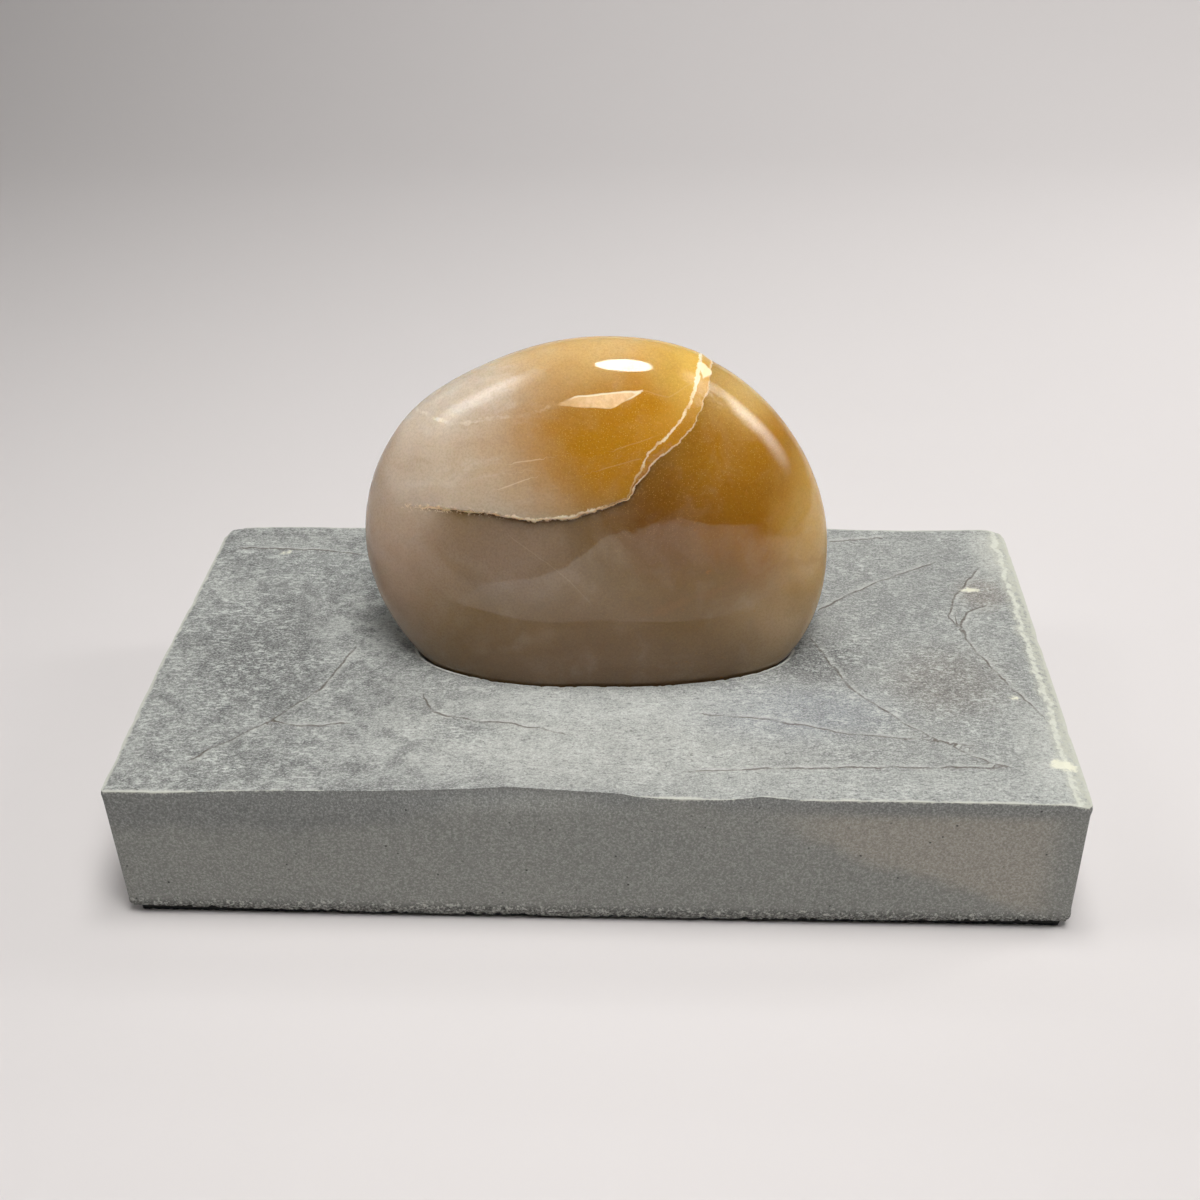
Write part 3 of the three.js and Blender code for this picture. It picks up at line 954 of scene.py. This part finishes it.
print("grain group sockets:", len(grain_group.interface.items_tree))

# %% [markdown]
# ## Cleft top
# Pale dust lies in short streaks along the slab, thickest near the left end and the front edge.
# Under it the stone is darker to the left and brownish on the right. The veins are thin brown
# lines with a pale side. The right edge is worn to a cream band with a white line in it.

# %% Cleft stone
TOP_ZONES = [
    # name, centre x and y, reach in x and y, colour, strength
    ("dusty front", (-2, -32), (60, 19), (187, 188, 182), 0.78),
    ("bluish middle", (38, -22), (28, 13), (147, 152, 160), 0.5),
    ("dark left", (-69, -3), (21, 28), (96, 96, 95), 0.75),
    ("dust by the pebble", (-50, 5), (14, 17), (180, 182, 177), 0.5),
    ("dark back left", (-52, 30), (38, 14), (120, 123, 121), 0.55),
    ("brown right", (69, -12), (17, 16), (114, 106, 98), 0.65),
    ("rusty back right", (81, 20), (8, 9), (134, 116, 100), 0.45),
    ("pale back right edge", (87, 36), (8, 22), (200, 200, 190), 0.7),
    ("pale front right corner", (86, -34), (10, 22), (204, 205, 197), 0.6),
    # painted shadow: the dark spot where the pebble's right end shades the slab
    ("painted shadow by the pebble", (44, -5), (14, 12), (78, 78, 78), 0.75),
    ("dark front left", (-66, -38), (14, 9), (102, 103, 101), 0.5),
    ("dark oval in the dust", (-25, -28), (9, 7), (116, 118, 116), 0.55),
    # lighter just in front of the pebble
    ("pale band before the pebble", (2, -20), (44, 8), (198, 200, 195), 0.5),
]
ZONE_HEIGHT = 31
ZONE_REACH_UP = 30

cleft_stone, cleft_shader = start_material("cleft_stone", Roughness=0.85)
place, x, y, _ = place_in_mm()
recipe.colour = (148, 149, 145)
wide = lumps(place, 0.035, 3.0, 0.5)
lay(fade(wide, 0.35, 0.65, 0.0, 0.35), (122, 124, 124))
for name, centre, reach, zone_colour, strength in TOP_ZONES:
    centre, reach = (*centre, ZONE_HEIGHT), (*reach, ZONE_REACH_UP)
    lay(oval(place, name, centre, reach, 1.0, 0.25, strength), zone_colour)
lay(both(fade(y, -38.4, -39.6), fade(x, 6, 28), 0.35), (190, 192, 186))
mottle = lumps(place, 0.24, 4.0, 0.65)
lay(both(fade(mottle, 0.54, 0.38), fade(x, -5, -50, 0.2, 0.7)), (90, 91, 90))

streaks = add("ShaderNodeMapping", {"Vector": place, "Scale": (0.42, 1.0, 1)}).outputs["Vector"]
dust = lumps(streaks, 1.7, 5.0, 0.72, 0.3)
dust_here = fade(lumps(place, 0.06, 3.0, 0.6), 0.3, 0.65, 0.3, 0.85)
dust_here = calc("ADD", dust_here, fade(x, -52, -74, 0.0, 0.25), clamp=True)
dust_here = both(dust_here, fade(mottle, 0.4, 0.58, 0.35, 1.0))
lay(both(fade(dust, 0.5, 0.59), dust_here), (200, 203, 197))
lay(fade(dust, 0.46, 0.34, 0.0, 0.6), (90, 91, 90))
dashes = lumps(streaks, 4.5, 3.0, 0.7)
lay(fade(dashes, 0.5, 0.66, 0.0, 0.5), (226, 228, 222))
grain_height = lay_grain(place, 0.3, 0.4)

vein_at = stored("vein_mm")
vein_here = both(stored("vein_near"), fade(lumps(place, 0.25, 4.0, 0.6), 0.36, 0.56, 0.3, 1.0))
halo = both(fade(vein_at, 1.5, 0.5), fade(vein_at, 0.1, 0.35))
lay(both(halo, vein_here, 0.35), (204, 205, 198))
vein = both(fade(calc("ABSOLUTE", vein_at), 0.3, 0.1), vein_here)
lay(both(vein, 0.7), (92, 82, 72))

ragged = lumps(place, 0.3, 5.0, 0.7)
at_side = calc("MAXIMUM", fade(x, 83.5, 88), fade(x, -86, -89))
worn = both(fade(ragged, 0.3, 0.7, 0.5, 1.1), fade(at_side, 0.0, 1.0, 1.0, 1.4))
lay(fade(calc("DIVIDE", stored("arris_mm"), worn), 1.0, 0.4, 0.0, 0.8), (208, 208, 197))
band = fade(calc("ADD", x, both(ragged, 6.0)), 88.0, 90.6)
worn_off = fade(lumps(place, 0.9, 4.0, 0.7), 0.34, 0.6, 0.15, 0.85)
lay(both(band, worn_off), (198, 198, 183))
line_at = calc("SUBTRACT", calc("ADD", x, both(ragged, 4.0)), 89.3)
flaky = lumps(place, 0.7, 4.0, 0.7)
white_line = near_line(line_at, fade(flaky, 0.3, 0.7, 0.35, 1.2))
white_line = both(white_line, fade(flaky, 0.34, 0.55, 0.15, 0.7))
lay(white_line, (222, 223, 210))
patch = calc("ADD", stored("patch_mm"), both(calc("SUBTRACT", flaky, 0.5), 3.0))
lay(fade(patch, -0.4, 0.5, 0.0, 0.8), (240, 238, 216))
lip_at = stored("lip_mm")
lip_ends = fade(calc("ABSOLUTE", x), 20, 33, 0.25, 1.0)
lip_edge = both(fade(lip_at, 0.95, 0.6), fade(lip_at, 0.3, 0.45))
lay(both(lip_edge, lip_ends), (222, 222, 214))
height = calc("ADD", both(dust, 0.6), calc("ADD", both(grain_height, 0.3), both(dashes, 0.3)))
height = calc("SUBTRACT", height, both(vein, 0.25))
finish_material(cleft_shader, height, 0.6, 0.6)
slab_mesh.materials.append(cleft_stone)
print("cleft stone nodes:", len(recipe.tree.nodes))

# %% [markdown]
# ## Sawn sides
# The sawn faces are finer and even, with a few dark pits, a darker weathered band under the top
# edge that ends in a point, and a warm stain across the right of the front. The lower edge is
# broken: a narrow gritty band of dark and pale crumbs. The recess under it is painted near black,
# as painted shade.

# %% Sawn stone
sawn_stone, sawn_shader = start_material("sawn_stone", Roughness=0.8)
place, x, y, z = place_in_mm()
recipe.colour = (144, 144, 138)
broad = lumps(place, 0.05, 4.0, 0.6)
uneven = fade(broad, 0.3, 0.7, -1.6, 1.6)
lay(fade(broad, 0.35, 0.7, 0.0, 0.3), (130, 132, 128))
band_low = calc("MINIMUM", fade(x, -56, -6, 23.0, 31.5), fade(x, 12, 34, 32.0, 28.0))
lay(fade(calc("ADD", calc("SUBTRACT", z, band_low), uneven), -2.4, 2.2, 0.0, 0.48), (112, 114, 115))
slope = calc("ADD", z, both(calc("SUBTRACT", x, 30), 0.42))
stain = both(fade(calc("ADD", slope, uneven), 24.0, 28.5), fade(x, 28, 48), fade(x, 88, 80))
stain = both(stain, fade(z, 29.5, 26.5), fade(y, -44, -47))
lay(both(stain, 0.6), (174, 165, 151))
grain_height = lay_grain(place, 0.32, 0.9)

crumbs = lumps(place, 1.3, 4.0, 0.75)
foot = fade(calc("SUBTRACT", z, both(crumbs, 5.0)), 2.6, 1.0)
lay(both(foot, fade(crumbs, 0.52, 0.42, 0.1, 0.75)), (58, 58, 56))
lay(both(foot, fade(crumbs, 0.53, 0.62, 0.0, 0.75)), (214, 214, 206))
rim = fade(both(stored("arris_mm"), fade(crumbs, 0.3, 0.7, 1.8, 0.8)), 0.7, 0.3, 0.0, 0.8)
lay(rim, (206, 206, 194))
# painted shade: the recess under the lifted rim is painted near black
lay(fade(stored("recess_mm"), 0.25, 0.5), (16, 16, 16))
height = calc("ADD", both(grain_height, 0.4), both(foot, crumbs, 2.0))
finish_material(sawn_shader, height, 0.5, 0.6)
slab_mesh.materials.append(sawn_stone)

# The cleft face is what looks up near the top; all else is sawn.
CLEFT_FACES_UP = 0.45
CLEFT_REACHES_DOWN = 4
SHARP_DEGREES = 50
facing_up = vectors_of(slab_mesh.polygons, "normal")[:, 2]
height_mm = vectors_of(slab_mesh.polygons, "center")[:, 2] / MM
is_cleft = (facing_up > CLEFT_FACES_UP) & (height_mm > SLAB_TOP - CLEFT_REACHES_DOWN)
slab_mesh.polygons.foreach_set("material_index", np.where(is_cleft, 0, 1).astype(np.int32))
shade_smooth(slab_mesh)
slab_mesh.set_sharp_from_angle(angle=math.radians(SHARP_DEGREES))
print("cleft faces:", int(is_cleft.sum()), "sawn faces:", int((~is_cleft).sum()))

# %% [markdown]
# ## Floor and light
# A plain pale sweep, a round lamp straight overhead that draws the small bright oval on the
# crown, and two bent strips of soft light, left and right, that draw the streaks on the shoulders.
# Three large soft lights that no mirror image shows light the slab, the floor and the backdrop.
# Polished stone is mostly a picture of what stands round it. So three cards lie in front, where
# only mirror images can see them: the table, whose crisp far edge runs across the pebble, a dimmer
# strip of table to its left, and the dark shade beyond that.

# %% Floor
FLOOR_HALF_WIDTH = 1100
FLOOR_FRONT = -700
SWEEP_START = 420
SWEEP_RADIUS = 420
SWEEP_DEGREES = 80
SWEEP_STEPS = 24

bm = bmesh.new()
profile = [bm.verts.new((-FLOOR_HALF_WIDTH, y, 0)) for y in (FLOOR_FRONT, SWEEP_START)]
bm.edges.new(profile)
bmesh.ops.spin(
    bm,
    geom=[profile[1]],
    cent=(-FLOOR_HALF_WIDTH, SWEEP_START, SWEEP_RADIUS),
    axis=(1, 0, 0),
    angle=math.radians(SWEEP_DEGREES),
    steps=SWEEP_STEPS,
)
swept = bmesh.ops.extrude_edge_only(bm, edges=bm.edges[:])
moved = [v for v in swept["geom"] if isinstance(v, bmesh.types.BMVert)]
bmesh.ops.translate(bm, vec=(2 * FLOOR_HALF_WIDTH, 0, 0), verts=moved)
bmesh.ops.recalc_face_normals(bm, faces=bm.faces)
bmesh.ops.scale(bm, vec=(MM, MM, MM), verts=bm.verts)
floor_mesh = mesh_from(bm, "floor")
shade_smooth(floor_mesh)
floor = put_in_scene(floor_mesh)
paper, _ = start_material("paper", Base_Color=paint(222, 217, 215), Roughness=0.9)
floor_mesh.materials.append(paper)
print("floor box:", [round(v, 2) for v in floor.dimensions])


# %% Lights
def soft_light(name, at, towards, shape, size, power, mirrored=True):
    data = bpy.data.lights.new(name, "AREA")
    data.shape = shape
    data.size = size[0] * MM
    if shape == "RECTANGLE":
        data.size_y = size[1] * MM
    data.energy = power
    lamp = bpy.data.objects.new(name, data)
    lamp.location = Vector(at) * MM
    lamp.rotation_euler = (Vector(towards) - Vector(at)).to_track_quat("-Z", "Y").to_euler()
    lamp.visible_camera = False
    lamp.visible_glossy = mirrored
    scene.collection.objects.link(lamp)


soft_light("lamp_over", (28, -18, 480), (0, 0, 60), "DISK", (118, 118), 0.65)
soft_light("key_light", (90, -240, 640), (10, 0, 40), "RECTANGLE", (260, 260), 3.0, mirrored=False)
soft_light("right_light", (720, 60, 480), (500, 20, 0), "RECTANGLE", (400, 400), 4.5, mirrored=False)
soft_light("sweep_light", (150, 300, 560), (150, 700, 120), "RECTANGLE", (700, 200), 0.95, mirrored=False)


# %% Strips and cards
def glowing(name, radiance):
    """A material that only glows, by the share that its mesh stores at each point."""
    material, shader = start_material(
        name,
        Base_Color=(0, 0, 0, 1),
        Roughness=1.0,
        Specular_IOR_Level=0.0,
        Emission_Color=(1, 1, 1, 1),
    )
    feed(shader.inputs["Emission Strength"], both(stored("glow"), radiance))
    return material


STRIP_CENTRE = (0, 0, 70)
STRIP_RADIUS = 520
STRIP_CELLS = 24


def light_strip(name, side, low, high, lean, half_width, radiance, lights_stone):
    """A strip bent round the pebble from one height angle to another, brightest along its middle."""
    bm = bmesh.new()
    bmesh.ops.create_grid(bm, x_segments=STRIP_CELLS, y_segments=STRIP_CELLS, size=1)
    mesh = mesh_from(bm, name)
    run, across = points_of(mesh)[:, :2].T
    angle = np.radians(low + (high - low) * (run + 1) / 2)
    x = side * STRIP_RADIUS * np.cos(angle)
    y = STRIP_RADIUS * lean * np.cos(angle) + across * half_width
    z = STRIP_RADIUS * np.sin(angle)
    set_points(mesh, (np.stack((x, y, z), axis=1) + STRIP_CENTRE) * MM)
    store(mesh, "glow", np.cos(across * np.pi / 2) ** 2 * np.sin((run + 1) * np.pi / 2) ** 1.2)
    mesh.materials.append(glowing(name, radiance))
    strip = put_in_scene(mesh)
    strip.visible_camera = False
    strip.visible_diffuse = lights_stone


light_strip("strip_left", -1, 34, 70, -0.16, 130, 4.9, True)
light_strip("strip_right", 1, 11, 68, -0.08, 125, 9.0, False)


def mirror_card(name, columns, radiance):
    """A card whose columns of points run side by side, each with its share of the light."""
    rows = len(columns[0][0])
    bm = bmesh.new()
    verts = [[bm.verts.new(Vector(point) * MM) for point in points] for points, _ in columns]
    for left, right in zip(verts[:-1], verts[1:]):
        for i in range(rows - 1):
            bm.faces.new((left[i], left[i + 1], right[i + 1], right[i]))
    mesh = mesh_from(bm, name)
    store(mesh, "glow", np.repeat([share for _, share in columns], rows))
    mesh.materials.append(glowing(name, radiance))
    card = put_in_scene(mesh)
    card.visible_camera = False
    card.visible_diffuse = False
    card.visible_shadow = False


CARD_NEAR = -93
CARD_FAR = -900
TABLE_EDGE = [
    # near x, far x, height of the far edge, share of the light
    (-100, -257, 1, 1), (-94, -156, 74, 1), (-86, -119, 138, 1), (-45, -58, 188, 1), (5, 5, 199, 1),
    (70, 113, 173, 1), (140, 234, 152, 1), (260, 438, 147, 1), (420, 680, 107, 1), (600, 950, 60, 0),
]
LEFT_EDGE = [
    # near x, far x, far y
    (-100, -131, -255), (-130, -161, -235), (-170, -236, -293), (-300, -557, -641), (-600, -1014, -900),
]
SHADE_EDGE = [(-101, -258), (-600, -1100)]
SHADE_HEIGHT = 0.5

table = [
    ([(x, CARD_NEAR, 1), (far, CARD_FAR, 1), (far, CARD_FAR, top)], share)
    for x, far, top, share in TABLE_EDGE
]
left_table = [([(x, CARD_NEAR, 1), (far_x, far_y, 1)], 1) for x, far_x, far_y in LEFT_EDGE]
shade = [([(x, CARD_NEAR, SHADE_HEIGHT), (far, CARD_FAR, SHADE_HEIGHT)], 1) for x, far in SHADE_EDGE]
mirror_card("card_table", table, 0.85)
mirror_card("card_left", left_table, 0.5)
mirror_card("card_shade", shade, 0.08)

ROOM_LIGHT = (0.02, 0.02, 0.021, 1)
world = bpy.data.worlds.new("room")
scene.world = world
world.use_nodes = True
world.node_tree.nodes["Background"].inputs["Color"].default_value = ROOM_LIGHT
scene.view_settings.view_transform = "Standard"
